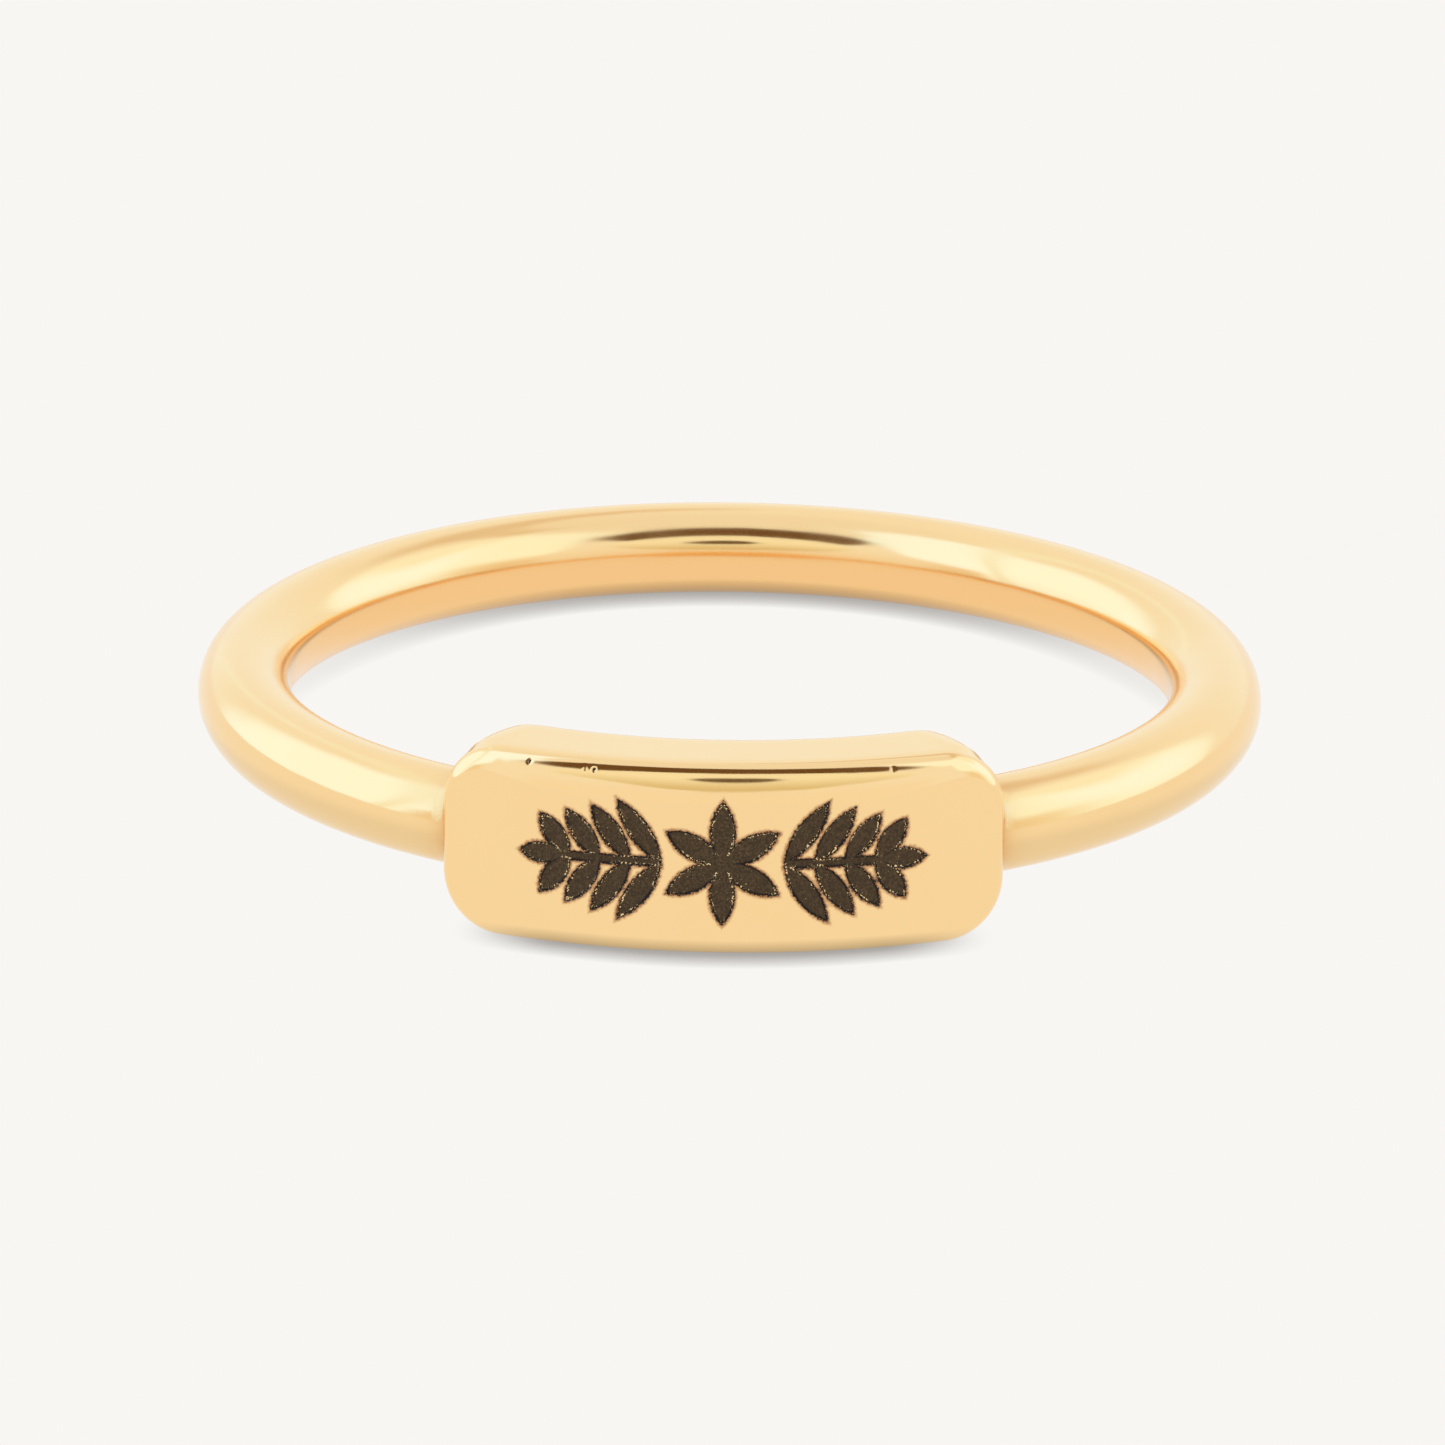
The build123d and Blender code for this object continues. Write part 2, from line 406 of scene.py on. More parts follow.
def bar_sides(shape, from_end, z, side, lean, x):
    """Points, radii and depths of the nicks of the loops that run round the front patch: over
    the steep part of the roll, down the bar's sides, and round the edges at the finger. Each is
    the patch's border moved out along its lean until it lies at the loop's inset."""
    straight = np.abs(z) < shape.half_height - shape.corner - 1e-9
    out_along = np.where(straight, 1.0, np.sin(lean))
    out_up = np.where(straight, 0.0, np.cos(lean)) * np.sign(z)

    edge = shape.comfort
    roll_loops, wall_loops, finger_loops = 21, 6, 10
    share = np.linspace(0, 1, roll_loops + 1)[1:]
    roll_in = edge * np.cos(share * math.pi / 2) ** 1.5
    roll_in[-1] = 0
    side_top, side_bottom = shape.front_radius - shape.roll_depth, shape.back_radius + edge
    wall = np.linspace(side_top, side_bottom, wall_loops + 1)[1:]
    bend = np.linspace(0, math.pi / 2, finger_loops + 1)[1:]
    insets = np.concatenate([roll_in, 0 * wall, edge * (1 - np.cos(bend))])[:, None]
    # Radii of the loops below the roll. Those on it have 0 here and follow the roll.
    below = np.concatenate([0 * roll_in, wall, side_bottom - edge * np.sin(bend)])[:, None]
    on_roll = below == 0
    # The corners swell a little halfway through the bar's thickness, next to its top and bottom
    through = (shape.front_radius - below) / (shape.front_radius - shape.back_radius)
    swell = np.sin(2 * lean) ** 2 * np.cos(lean) ** 4 * ~straight
    swell = shape.corner_swell * swell * np.where(on_roll, 0, np.sin(through * math.pi))
    move = edge - insets + swell
    loop_z = z + move * out_up
    x = x * np.ones_like(move)
    dents = nicks(x, loop_z, shape) * on_roll
    rolled = shape.front_radius - shape.roll(insets, x) - dents
    radii = np.where(on_roll, rolled, below)
    return shape.on_bar(from_end - move * out_along, loop_z, radii, side), radii, dents


def bar_faces(rows, columns, loops):
    """Faces of the bar: the front patch, the bands from its border to the last loop, and the
    back as tall quads with a many-sided face at each end. A loop's points are numbered along
    the bottom, up the right, back along the top and down the left."""
    border = ring_of(np.arange(rows * columns).reshape(rows, columns))
    later = rows * columns + np.arange(loops * len(border)).reshape(loops, -1)
    chain = np.vstack([border, later])
    onward = np.roll(chain, -1, axis=1)
    bands = np.stack([chain[1:], onward[1:], onward[:-1], chain[:-1]], axis=-1).reshape(-1, 4)

    last = later[-1]
    top_right = columns + rows - 2
    bottom, top = last[:columns], last[top_right : top_right + columns][::-1]
    back = np.stack([bottom[1:-2], top[1:-2], top[2:-1], bottom[2:-1]], axis=-1)
    right = last[columns - 2 : top_right + 2]
    left = np.concatenate([last[top_right + columns - 2 :], last[:2]])
    return [grid_faces(rows, columns), bands, back, np.stack([right[::-1], left[::-1]])]


def build_bar(shape, cut):
    """Closed bar: its front, whose radius is the front radius less the roll, the engraving and
    the nicks, the loops of its sides, and its back."""
    from_end, z, side, lean = front_patch(shape, cut)
    x = side * shape.front_radius * np.sin(shape.turn(from_end, shape.front_radius))
    distance = cut_distance(x, z, cut)
    sunk = shape.roll(shape.inset(from_end, z), x) + recess(distance, cut) + nicks(x, z, shape)
    front = shape.on_bar(from_end, z, shape.front_radius - sunk, side)
    border = [ring_of(grid) for grid in (from_end, z, side, lean, x)]
    sides, radii, dents = bar_sides(shape, *border)
    points = np.concatenate([front.reshape(-1, 3), sides.reshape(-1, 3)])
    bar = add_mesh("engraved_bar", shape.laid_down(points), bar_faces(*z.shape, len(radii)))
    # Blackening is left beside and in the engraving and, thickest, in the pits
    stained = np.clip(1 - distance / FRONT_SOOT, 0, 1)
    held = 3 * smooth((dents - PIT_DEPTH) / PIT_DEPTH)
    add_attribute(bar, "soot", np.concatenate([stained.ravel(), held.ravel()]))
    # Painted shade on the rounding at the finger, which is also a little duller
    inner = 0.3 * smooth((shape.back_radius + shape.comfort - radii) / shape.comfort)
    add_attribute(bar, "inner", np.concatenate([np.zeros(z.size), inner.ravel()]))
    return bar


def build_band(shape):
    """Closed tube along the wire's arc, from inside one end of the bar to inside the other.

    The section is a circle. Next to the bar its radius grows by a hollow quarter circle of
    solder. It is measured from the line where the wire meets the bar: the bar's end, its roll
    on the outer side, or its rounding at the finger. Towards both of these it thins out."""
    sides, middle_rings = 72, 640
    around = np.linspace(0, 2 * math.pi, sides, endpoint=False)
    outwards, upwards = np.cos(around), np.sin(around)
    whole = (2 * math.pi - 2 * shape.half_turn) * shape.path_radius
    # The rings of points are coarse inside the bar, fine over the solder and coarser again
    past_solder = shape.solder_run + 0.02
    near = np.concatenate([
        np.linspace(-shape.overlap, -0.45, 4),
        np.linspace(-0.4, past_solder, 80),
        past_solder + np.cumsum(np.linspace(0.012, 0.1, 14)),
    ])
    middle = np.linspace(near[-1], whole - near[-1], middle_rings)[1:-1]
    along = np.concatenate([near, middle, whole - near[::-1]])
    reach = shape.path_radius + shape.wire_radius * outwards
    rise = np.clip((reach - shape.back_radius) / shape.comfort, 0, 1)
    fall = np.clip((shape.front_radius - reach) / shape.roll_depth, 0, 1)
    meets = shape.roll_reach(shape.front_radius) * quarter(fall) + shape.comfort * quarter(rise)
    beyond = np.minimum(along, whole - along)[:, None] + meets
    solder = quarter(beyond / shape.solder_run) * smooth(1 + beyond / 0.05) * rise * fall**2
    section = shape.wire_radius + shape.solder_height * solder
    turn = (shape.half_turn + along / shape.path_radius)[:, None] - math.pi / 2
    radius = shape.path_radius + section * outwards
    points = np.stack([radius * np.cos(turn), radius * np.sin(turn), section * upwards], axis=-1)
    first = np.arange(sides)
    caps = np.stack([first, (first + (len(along) - 1) * sides)[::-1]])
    faces = [grid_faces(len(along), sides, closed=True)[:, ::-1], caps]
    band = add_mesh("wire_band", shape.laid_down(points.reshape(-1, 3)), faces)
    add_attribute(band, "seam", np.exp(-np.maximum(beyond, 0) / SEAM_FADE).ravel())
    # Shares round the section: painted shade towards the finger, where the plate is also duller,
    # painted shade underneath on the outside, and more haze along the top
    for name, share in (
        ("inner", smooth((0.45 - upwards) / 0.35) * smooth((0.2 - outwards) / 0.5)),
        ("under", smooth((0.12 - upwards) / 0.35) * smooth((0.2 + outwards) / 0.5)),
        ("hazed", smooth((upwards - 0.2) / 0.5)),
    ):
        add_attribute(band, name, np.tile(share, len(along)))
    return band


def build_blackening(name, shape, cut):
    """Closed slab in one engraved ornament. Its top is the front radius less the roll and the
    fill's depth, with grain, and climbs at the walls, over the grid cells that lie in the
    ornament; its bottom is the engraving's floor; its sides join the two along the border."""
    half_width, half_height = (cut.stem_end + cut.tip_leaf_length) / MM, 1.3
    width = np.linspace(-half_width, half_width, round(2 * half_width / FILL_CELL) + 1)
    height = np.linspace(-half_height, half_height, round(2 * half_height / FILL_CELL) + 1)
    x, z = np.meshgrid(width, height)
    distance = ragged(ORNAMENTS[name](x, z, cut), x, z)
    middle = (distance[:-1, :-1] + distance[1:, 1:]) / 2
    inside = middle < -0.006  # so that the slab's stepped sides stay in the sloping walls
    cells = grid_faces(*x.shape)[inside.ravel()]
    used, cells = np.unique(cells, return_inverse=True)
    cells = cells.reshape(-1, 4)
    x, z, distance = x.ravel()[used], z.ravel()[used], distance.ravel()[used]
    # A cell's edge is on the border where no other cell has it the other way round
    edges = np.concatenate([cells[:, [k, (k + 1) % 4]] for k in range(4)])
    there = edges[:, 0] * len(used) + edges[:, 1]
    back = edges[:, 1] * len(used) + edges[:, 0]
    start, end = edges[~np.isin(there, back)].T

    turn = np.arcsin(x / shape.front_radius)
    from_end = shape.front_radius * np.sin(shape.half_turn - np.abs(turn))
    # Uneven by up to 0.02 mm, in waves of 0.09 and 0.045 mm
    fill = cut.fill_below / MM + 0.012 * grain(x, z, 0.09, 7) + 0.008 * grain(x, z, 0.045, 8)
    climb = 0.05 * np.exp(distance / 0.045)  # up the walls, and falling off away from them
    roll = shape.roll(shape.inset(from_end, z), x)
    top = shape.front_radius - roll - (fill - climb)
    bottom = shape.front_radius - cut.depth / MM - roll
    points = np.concatenate([
        np.stack([r * np.sin(turn), -r * np.cos(turn), z], axis=-1) for r in (top, bottom)
    ])
    sides = np.stack([end, start, start + len(used), end + len(used)], axis=-1)
    faces = [cells, cells[:, ::-1] + len(used), sides]
    slab = add_mesh(f"oxide_{name}", shape.laid_down(points), faces)
    add_attribute(slab, "soot", np.tile(np.clip(1 + distance / WALL_SOOT, 0, 1), 2))
    return slab


def add_node(tree, kind, settings, inputs, out=0):
    """Adds a node with its own settings, gives its inputs, by name or place, numbers, colours or
    links, and returns its output of the given name or place, or nothing where out is None."""
    node = tree.nodes.new("ShaderNode" + kind)
    for name, value in settings.items():
        setattr(node, name, value)
    for place, value in inputs.items():
        if isinstance(value, bpy.types.NodeSocket):
            tree.links.new(value, node.inputs[place])
        else:
            node.inputs[place].default_value = value
    return None if out is None else node.outputs[out]


def share_of(tree, *limits):
    """The product of shares from 0 to 1. A limit is a share itself, or a value with the places
    where a smooth step of it is 0 and where it is 1."""
    product = 1.0
    for limit in limits:
        if isinstance(limit, tuple):
            value, none, full = limit
            step = {0: value, 1: none, 2: full}
            limit = add_node(tree, "MapRange", {"interpolation_type": "SMOOTHSTEP"}, step)
        product = add_node(tree, "Math", {"operation": "MULTIPLY"}, {0: product, 1: limit})
    return product


def paint(tree, under, colour, *limits):
    """Lays a linear colour over another by the share that its limits give."""
    layers = {0: share_of(tree, *limits), 6: under, 7: (*colour, 1)}
    return add_node(tree, "Mix", {"data_type": "RGBA"}, layers, out=2)


def new_material(name):
    """An empty node material and its tree."""
    material = bpy.data.materials.new(name)
    material.use_nodes = True
    material.node_tree.nodes.clear()
    return material, material.node_tree


def gold_plate(colours):
    """Polished yellow gold plate over silver, buffed on a wheel.

    Gold gives a warm mirror. The buffing leaves it very slightly uneven over a millimetre or
    two and hazed by hairlines too fine to see one by one, so that reflections are crisp but
    not perfect. Next to the solder the wheel reaches less well, and the plate is duller there
    and deeper, partly in its own tone and partly in painted shade in the joint's hollow. On
    the finger's side it is duller too and darkened by painted shade, underneath on the outside
    a little darker by painted shade, and along the wire's top a little hazier."""
    material, tree = new_material("polished gold plate")
    place = add_node(tree, "TexCoord", {}, {}, out="Object")
    seam, inner, under, hazed, soot = (
        add_node(tree, "Attribute", {"attribute_name": name}, {}, out="Fac")
        for name in ("seam", "inner", "under", "hazed", "soot")
    )
    # Tone drifts over about 3 mm, as the plate's thickness does
    drift = add_node(tree, "TexNoise", {}, {"Vector": place, "Scale": 330.0, "Detail": 2.0})
    tone = paint(tree, (*colours.gold, 1), colours.gold_deep, drift)
    # Painted shade towards the finger
    tone = paint(tree, tone, colours.inside, inner)
    # Painted shade under the wire's outside
    tone = paint(tree, tone, colours.under, under)
    # Deeper gold next to the solder, partly the joint's own and partly painted shade
    tone = paint(tree, tone, colours.lap_and_shade, seam, 0.55)
    # The wheel's soft waves, 1.5 mm long and a few micrometres high
    waves = add_node(tree, "TexNoise", {}, {"Vector": place, "Scale": 650.0, "Detail": 1.0})
    bump = add_node(tree, "Bump", {}, {"Distance": 0.000014, "Height": waves})
    # Buffing hairlines, 0.03 mm apart across the wheel's direction and 0.4 mm long along it
    lined = add_node(tree, "Mapping", {}, {"Vector": place, "Scale": (1.0, 1.0, 14.0)})
    hair = add_node(
        tree, "TexNoise", {}, {"Vector": lined, "Scale": 2600.0, "Detail": 4.0, "Roughness": 0.65},
    )
    bump = add_node(tree, "Bump", {}, {"Distance": 0.00000012, "Height": hair, "Normal": bump})
    # Pits at the solder, 0.1 mm across
    pits = add_node(tree, "TexNoise", {}, {"Vector": place, "Scale": 9000.0, "Detail": 2.0})
    pitted = share_of(tree, pits, seam)
    bump = add_node(tree, "Bump", {}, {"Distance": 0.000012, "Height": pitted, "Normal": bump})
    # Haze from the buffing, in patches of 1 mm
    patches = add_node(tree, "TexNoise", {}, {"Vector": place, "Scale": 900.0, "Detail": 3.0})
    haze = add_node(tree, "MapRange", {}, {0: patches, 1: 0.35, 2: 0.75, 3: 0.07, 4: 0.12})
    # Blackening left on the engraving's rims, brown and thin outside them and thick inside, in
    # smears of 0.06 mm
    smear = add_node(
        tree, "TexNoise", {}, {"Vector": place, "Scale": 16000.0, "Detail": 3.0, "Roughness": 0.7},
    )
    uneven = add_node(tree, "Math", {"operation": "MULTIPLY_ADD"}, {0: smear, 1: 0.7, 2: -0.35})
    uneven = add_node(tree, "Math", {"operation": "ADD"}, {0: uneven, 1: soot})
    thin = share_of(tree, (uneven, 0.1, 0.9))
    tone = paint(tree, tone, colours.stain, thin, 0.85)
    # Bare spots 0.03 mm across on the walls, where the gold glints
    spots = add_node(tree, "TexNoise", {}, {"Vector": place, "Scale": 30000.0, "Detail": 1.0})
    spots = add_node(tree, "Math", {"operation": "MULTIPLY_ADD"}, {0: soot, 1: -0.2, 2: spots})
    thick = share_of(tree, (uneven, 0.66, 0.86), (spots, 0.4, 0.34))
    tone = paint(tree, tone, colours.oxide_rim, thick)
    metallic = add_node(tree, "Math", {"operation": "MULTIPLY_ADD"}, {0: thick, 1: -0.9, 2: 1.0})
    rough = haze
    for share, more in ((seam, 0.2), (inner, 0.1), (hazed, 0.08), (thin, 0.45)):
        added = {0: share, 1: more, 2: rough}
        rough = add_node(tree, "Math", {"operation": "MULTIPLY_ADD"}, added)
    shader = add_node(tree, "BsdfPrincipled", {}, {
        "Base Color": tone, "Metallic": metallic, "Roughness": rough, "Normal": bump,
    })
    add_node(tree, "OutputMaterial", {}, {"Surface": shader}, out=None)
    return material


def blackening(colours):
    """Brown-black oxide, rubbed into the engraving and wiped off the front.

    It is matt and grainy, with lighter dust on it and a few bright grains of metal. Beside the
    walls it is thicker and blacker, and chipped."""
    material, tree = new_material("oxide blackening")
    place = add_node(tree, "TexCoord", {}, {}, out="Object")
    wall = add_node(tree, "Attribute", {"attribute_name": "soot"}, {}, out="Fac")
    # Dust in clumps of 0.05 mm
    dust = add_node(
        tree, "TexNoise", {}, {"Vector": place, "Scale": 20000.0, "Detail": 3.0, "Roughness": 0.7},
    )
    share = add_node(tree, "MapRange", {}, {0: dust, 1: 0.42, 2: 0.8})
    tone = paint(tree, (*colours.oxide, 1), colours.oxide_dust, share)
    # Grains of metal 0.02 mm across, one in a few hundred
    specks = add_node(tree, "TexNoise", {}, {"Vector": place, "Scale": 42000.0, "Detail": 1.0})
    metal = add_node(tree, "MapRange", {}, {0: specks, 1: 0.755, 2: 0.79})
    tone = paint(tree, tone, colours.gold, metal)
    # Thicker and blacker towards the walls
    uneven = add_node(tree, "Math", {"operation": "MULTIPLY_ADD"}, {0: dust, 1: 0.8, 2: -0.4})
    uneven = add_node(tree, "Math", {"operation": "ADD"}, {0: uneven, 1: wall})
    tone = paint(tree, tone, colours.oxide_rim, (uneven, 0.25, 0.8))
    # Chips 0.04 mm across beside the walls, here and there, where bare metal shows through
    flakes = add_node(tree, "TexNoise", {}, {"Vector": place, "Scale": 27000.0, "Detail": 1.0})
    chipped = add_node(tree, "TexNoise", {}, {"Vector": place, "Scale": 3000.0, "Detail": 1.0})
    chips = share_of(
        tree, (flakes, 0.55, 0.61), (chipped, 0.42, 0.56), (wall, 0.15, 0.4), (wall, 0.95, 0.75),
    )
    tone = paint(tree, tone, colours.gold, chips)
    metallic = add_node(tree, "Math", {"operation": "MAXIMUM"}, {0: metal, 1: chips})
    rough = add_node(tree, "Math", {"operation": "MULTIPLY_ADD"}, {0: chips, 1: -0.27, 2: 0.62})
    bump = add_node(tree, "Bump", {}, {"Distance": 0.00001, "Height": dust})
    shader = add_node(tree, "BsdfPrincipled", {}, {
        "Base Color": tone, "Metallic": metallic, "Roughness": rough, "Specular IOR Level": 0.25,
        "Normal": bump,
    })
    add_node(tree, "OutputMaterial", {}, {"Surface": shader}, out=None)
    return material


def lit_acrylic(colours):
    """White acrylic table, lit from below. A painted contact shadow, from ambient occlusion,
    darkens its glow within half a millimetre of the ring, most of all where the ring stands on
    it: under the bar in front, where the shade fades towards the bar's ends, and under the wire
    behind. It is seen through from below, so that the ring's underside shows."""
    material, tree = new_material("lit white acrylic")
    below = add_node(tree, "NewGeometry", {}, {}, out="Backfacing")
    near = add_node(tree, "AmbientOcclusion", {"samples": 8}, {"Distance": 0.00046}, out="AO")
    painted_shade = add_node(tree, "Math", {"operation": "SUBTRACT"}, {0: 1.0, 1: near})
    place = add_node(tree, "TexCoord", {}, {}, out="Object")
    across, along, _ = add_node(tree, "SeparateXYZ", {}, {0: place}).node.outputs
    # Where the ring stands, in metres: the painted shade is whole there and a third of it at the
    # sides
    from_middle = add_node(tree, "Math", {"operation": "ABSOLUTE"}, {0: along})
    stands = share_of(tree, (from_middle, 0.005, 0.01))
    stands = add_node(tree, "Math", {"operation": "MULTIPLY_ADD"}, {0: stands, 1: 0.7, 2: 0.3})
    aside = add_node(tree, "Math", {"operation": "ABSOLUTE"}, {0: across})
    under_bar = share_of(tree, (aside, 0.0054, 0.003))
    behind = share_of(tree, (along, -0.004, 0.0))
    tapers = add_node(tree, "Math", {"operation": "MAXIMUM"}, {0: under_bar, 1: behind})
    # Painted contact shadow: the glow is darkened by the occlusion near the ring
    tone = paint(tree, (*colours.floor, 1), colours.painted_contact_shadow, painted_shade, stands, tapers)
    glow = add_node(tree, "Emission", {}, {"Color": tone, "Strength": 1.0})
    clear = add_node(tree, "BsdfTransparent", {}, {})
    seen = add_node(tree, "MixShader", {}, {0: below, 1: glow, 2: clear})
    add_node(tree, "OutputMaterial", {}, {"Surface": seen}, out=None)
    # An even floor lights the ring as well without being sampled as a lamp
    material.cycles.emission_sampling = "NONE"
    return material


def oval(tree, azimuth, elevation, middle, radii):
    """Distance from an oval's middle in directions, as a share of its radii."""
    offsets = []
    for value, centre, radius in zip((azimuth, elevation), middle, radii):
        offset = add_node(tree, "Math", {"operation": "SUBTRACT"}, {0: value, 1: centre})
        offsets.append(add_node(tree, "Math", {"operation": "DIVIDE"}, {0: offset, 1: radius}))
    flat = add_node(tree, "CombineXYZ", {}, dict(enumerate(offsets)))
    return add_node(tree, "VectorMath", {"operation": "LENGTH"}, {0: flat}, out="Value")


def away(tree, ray, azimuth, elevation):
    """Angle in degrees between the ray and a direction given by its azimuth and elevation."""
    a, e = math.radians(azimuth), math.radians(elevation)
    towards = (math.cos(e) * math.sin(a), -math.cos(e) * math.cos(a), math.sin(e))
    share = add_node(
        tree, "VectorMath", {"operation": "DOT_PRODUCT"}, {0: ray, 1: towards}, out="Value",
    )
    angle = add_node(tree, "Math", {"operation": "ARCCOSINE"}, {0: share})
    return add_node(tree, "Math", {"operation": "DEGREES"}, {0: angle})


def studio_light():
    """The room round the ring as a world, by direction. Angles are in degrees: elevation above
    the floor, and azimuth from the front, where the camera stands, positive to the right.

    Two soft boxes stand on the left and one on the right, cooler than the pale ceiling and the
    wall behind. In front, over the edge of the table, is a round reflector with a hole for the
    lens, and above it the dark of the room."""
    world = bpy.data.worlds.new("studio")
    bpy.context.scene.world = world
    world.use_nodes = True
    tree = world.node_tree
    tree.nodes.clear()
    ray = add_node(tree, "TexCoord", {}, {}, out="Generated")
    x, y, z = add_node(tree, "SeparateXYZ", {}, {0: ray}).node.outputs
    height = add_node(tree, "Math", {"operation": "ARCSINE"}, {0: z})
    elevation = add_node(tree, "Math", {"operation": "DEGREES"}, {0: height})
    to_front = add_node(tree, "Math", {"operation": "MULTIPLY"}, {0: y, 1: -1.0})
    turn = add_node(tree, "Math", {"operation": "ARCTAN2"}, {0: x, 1: to_front})
    azimuth = add_node(tree, "Math", {"operation": "DEGREES"}, {0: turn})
    aside = add_node(tree, "Math", {"operation": "ABSOLUTE"}, {0: azimuth})

    # Ceiling, walls, and the brighter lower wall behind
    light = paint(tree, (0.95, 0.98, 1.0, 1), (0.91, 0.92, 0.93), (elevation, 50.0, 74.0))
    light = paint(tree, light, (0.96, 1.03, 1.07), (elevation, 34.0, 4.0), (aside, 130.0, 160.0))
    # Pale low wall in front, and the dull backs of the soft boxes' stands beside it
    light = paint(tree, light, (0.95, 0.93, 0.9), (elevation, 20.0, 8.0), (aside, 40.0, 34.0))
    light = paint(
        tree, light, (0.9, 0.84, 0.72),
        (aside, 50.0, 58.0), (aside, 78.0, 66.0), (elevation, 20.0, 10.0),
    )
    # Left soft boxes, one high towards the front, cut back at its top, and one low at the side
    # with a pale glow round it
    above = add_node(tree, "Math", {"operation": "SUBTRACT"}, {0: elevation, 1: 55.0})
    above = add_node(tree, "Math", {"operation": "MAXIMUM"}, {0: above, 1: 0.0})
    edge = add_node(tree, "Math", {"operation": "MULTIPLY_ADD"}, {0: above, 1: 1.5, 2: azimuth})
    high = away(tree, ray, -77.0, 43.0)
    light = paint(tree, light, (1.02, 1.3, 1.74), (high, 31.0, 25.0), (edge, -46.0, -51.0))
    low = away(tree, ray, -106.0, 13.0)
    light = paint(tree, light, (1.02, 1.29, 1.65), (low, 39.0, 32.0), (azimuth, -148.0, -128.0))
    rim = away(tree, ray, -118.0, 12.0)
    light = paint(
        tree, light, (0.96, 1.08, 1.16),
        (rim, 37.5, 40.0), (rim, 44.5, 42.0), (azimuth, -70.0, -76.0),
    )
    # Right soft box, brighter at its lower back corner, duller over that and at its lower
    # front, and a ceiling beam above
    box = share_of(tree, (away(tree, ray, 95.0, 27.0), 39.0, 33.0), (azimuth, 53.0, 58.0))
    top = share_of(tree, (away(tree, ray, 72.0, 40.0), 27.0, 22.0), (azimuth, 46.0, 51.0))
    box = add_node(tree, "Math", {"operation": "MAXIMUM"}, {0: box, 1: top})
    corner = away(tree, ray, 108.0, 26.0)
    panel = paint(tree, (1.02, 1.21, 1.36, 1), (1.02, 1.29, 1.68), (corner, 30.0, 12.0))
    panel = paint(tree, panel, (1.0, 1.11, 1.14), (azimuth, 96.0, 110.0), (elevation, 28.0, 42.0))
    panel = paint(tree, panel, (0.9, 0.83, 0.68), (azimuth, 92.0, 64.0), (elevation, 26.0, 12.0))
    light = add_node(tree, "Mix", {"data_type": "RGBA"}, {0: box, 6: light, 7: panel}, out=2)
    slanted = {0: azimuth, 1: 0.3125, 2: elevation}
    beam = add_node(tree, "Math", {"operation": "MULTIPLY_ADD"}, slanted)
    light = paint(
        tree, light, (0.8, 0.7, 0.6),
        (beam, 95.5, 99.0), (beam, 107.0, 102.5), (azimuth, 104.0, 120.0),
    )
    light = paint(
        tree, light, (0.8, 0.7, 0.6),
        (azimuth, 136.0, 152.0), (elevation, 34.0, 47.0), (beam, 107.0, 102.5),
    )
    # Dark of the room round the top of the reflector
    reach = oval(tree, azimuth, elevation, (-0.8, 52.0), (46.2, 19.5))
    light = paint(tree, light, (0.15, 0.08, 0.03), (reach, 1.05, 0.93))
    # Round reflector, darker towards its foot, and its hole
    disc = paint(tree, (0.63, 0.52, 0.25, 1), (0.97, 1.0, 0.92), (elevation, 5.0, 36.0))
    reach = oval(tree, azimuth, elevation, (1.0, 31.5), (35.0, 18.0))
    reach = share_of(tree, (reach, 1.02, 0.97))
    light = add_node(tree, "Mix", {"data_type": "RGBA"}, {0: reach, 6: light, 7: disc}, out=2)
    reach = oval(tree, azimuth, elevation, (2.5, 32.0), (10.5, 4.8))
    light = paint(tree, light, (0.13, 0.085, 0.04), (reach, 1.15, 0.75))
    shine = add_node(tree, "Background", {}, {"Color": light, "Strength": 1.0})
    add_node(tree, "OutputWorld", {}, {"Surface": shine}, out=None)


def gold_material(scene):
    """The gold plate, made once and shared by the band and the bar."""
    return bpy.data.materials.get("polished gold plate") or gold_plate(scene.ring_finish)


def dress(piece, material, body, nodes):
    """Gives a piece its material and says what it rides on, stands for and is finished as."""
    piece.data.materials.append(material)
    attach(piece, body)
    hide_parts(*nodes)


class RING_OT_wire_band(Operator):
    """Builds the round wire band with its solder at the bar's ends"""

    bl_idname = "ring.wire_band"
    bl_label = "Wire Band"

    def execute(self, context):
        scene = context.scene
        band = build_band(RingShape(scene.ring_metal))
        dress(band, gold_material(scene), "root", ["ring"])
        return {"FINISHED"}


class RING_OT_engraved_bar(Operator):
    """Builds the curved bar with its rolled edges and its engraved front"""

    bl_idname = "ring.engraved_bar"
    bl_label = "Engraved Bar"

    def execute(self, context):
        scene = context.scene
        bar = build_bar(RingShape(scene.ring_metal), scene.ring_engraving)
        dress(bar, gold_material(scene), "root", ["ring"])
        return {"FINISHED"}


class RING_OT_blackening(Operator):
    """Builds the blackening in the flower and in both sprigs"""

    bl_idname = "ring.blackening"
    bl_label = "Blackening"

    def execute(self, context):
        scene = context.scene
        shape = RingShape(scene.ring_metal)
        material = blackening(scene.ring_finish)
        for name in ORNAMENTS:
            slab = build_blackening(name, shape, scene.ring_engraving)
            dress(slab, material, "root", [f"blackening_{name}"])
        return {"FINISHED"}


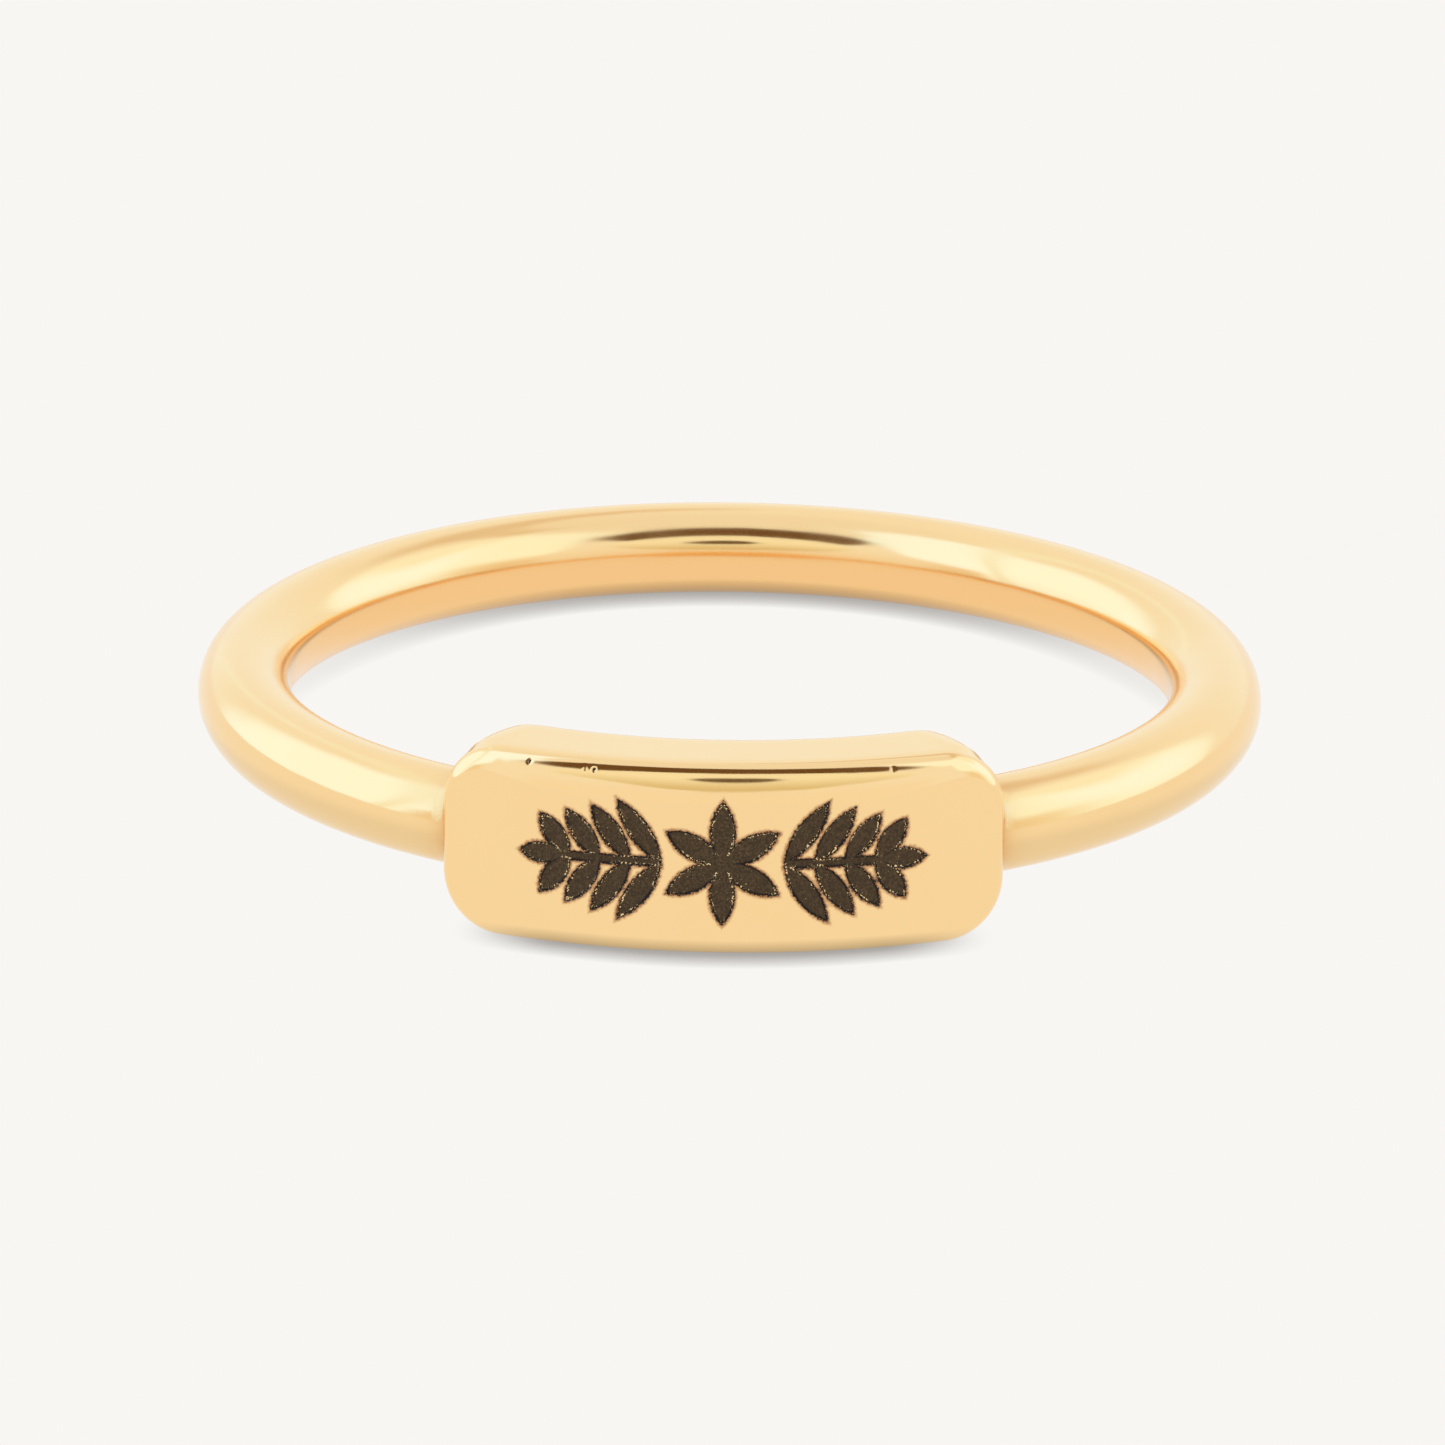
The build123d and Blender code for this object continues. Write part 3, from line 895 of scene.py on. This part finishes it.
class RING_OT_stage(Operator):
    """Lays the lit floor, lights the studio and sets up the camera"""

    bl_idname = "ring.stage"
    bl_label = "Floor, Light and Camera"

    def execute(self, context):
        scene = context.scene
        corners = np.array([[-1, -1, 0], [1, -1, 0], [1, 1, 0], [-1, 1, 0]]) * FLOOR_REACH
        floor = add_mesh("acrylic_floor", corners, [np.array([[0, 1, 2, 3]])])
        floor.data.materials.append(lit_acrylic(scene.ring_finish))
        studio_light()
        scene.view_settings.view_transform = "Standard"
        lens = bpy.data.cameras.new("photo_camera")
        lens.lens, lens.sensor_width = CAMERA_LENS, CAMERA_SENSOR
        lens.clip_start, lens.clip_end = 0.01, 10.0
        camera = bpy.data.objects.new("photo_camera", lens)
        camera.location = CAMERA_PLACE
        camera.rotation_euler = Euler([math.radians(angle) for angle in CAMERA_TURN])
        scene.collection.objects.link(camera)
        scene.camera = camera
        return {"FINISHED"}


class RING_PT_sidebar(Panel):
    """Lists the steps and the sizes in the 3D view's sidebar"""

    bl_idname = "RING_PT_sidebar"
    bl_label = "Bar Ring"
    bl_space_type = "VIEW_3D"
    bl_region_type = "UI"
    bl_category = "Bar Ring"

    def draw(self, context):
        scene = context.scene
        for step in STEPS:
            self.layout.operator(step.bl_idname)
        for group in (scene.ring_metal, scene.ring_engraving, scene.ring_finish):
            box = self.layout.box()
            for name in group.bl_rna.properties.keys():
                if name not in ("rna_type", "name"):
                    box.prop(group, name)


STEPS = (RING_OT_wire_band, RING_OT_engraved_bar, RING_OT_blackening, RING_OT_stage)
CLASSES = (MetalSizes, EngravingSizes, FinishColours, *STEPS, RING_PT_sidebar)


def register():
    """Registers the classes and hangs the settings on the scene."""
    for one in CLASSES:
        bpy.utils.register_class(one)
    bpy.types.Scene.ring_metal = PointerProperty(type=MetalSizes)
    bpy.types.Scene.ring_engraving = PointerProperty(type=EngravingSizes)
    bpy.types.Scene.ring_finish = PointerProperty(type=FinishColours)


def unregister():
    """Takes the settings off the scene and the classes out again."""
    del bpy.types.Scene.ring_finish
    del bpy.types.Scene.ring_engraving
    del bpy.types.Scene.ring_metal
    for one in reversed(CLASSES):
        bpy.utils.unregister_class(one)


def main():
    """Builds every piece and the stage."""
    register()
    bpy.ops.ring.wire_band()
    bpy.ops.ring.engraved_bar()
    bpy.ops.ring.blackening()
    bpy.ops.ring.stage()
    bpy.context.view_layer.update()


if __name__ == "__main__":
    main()
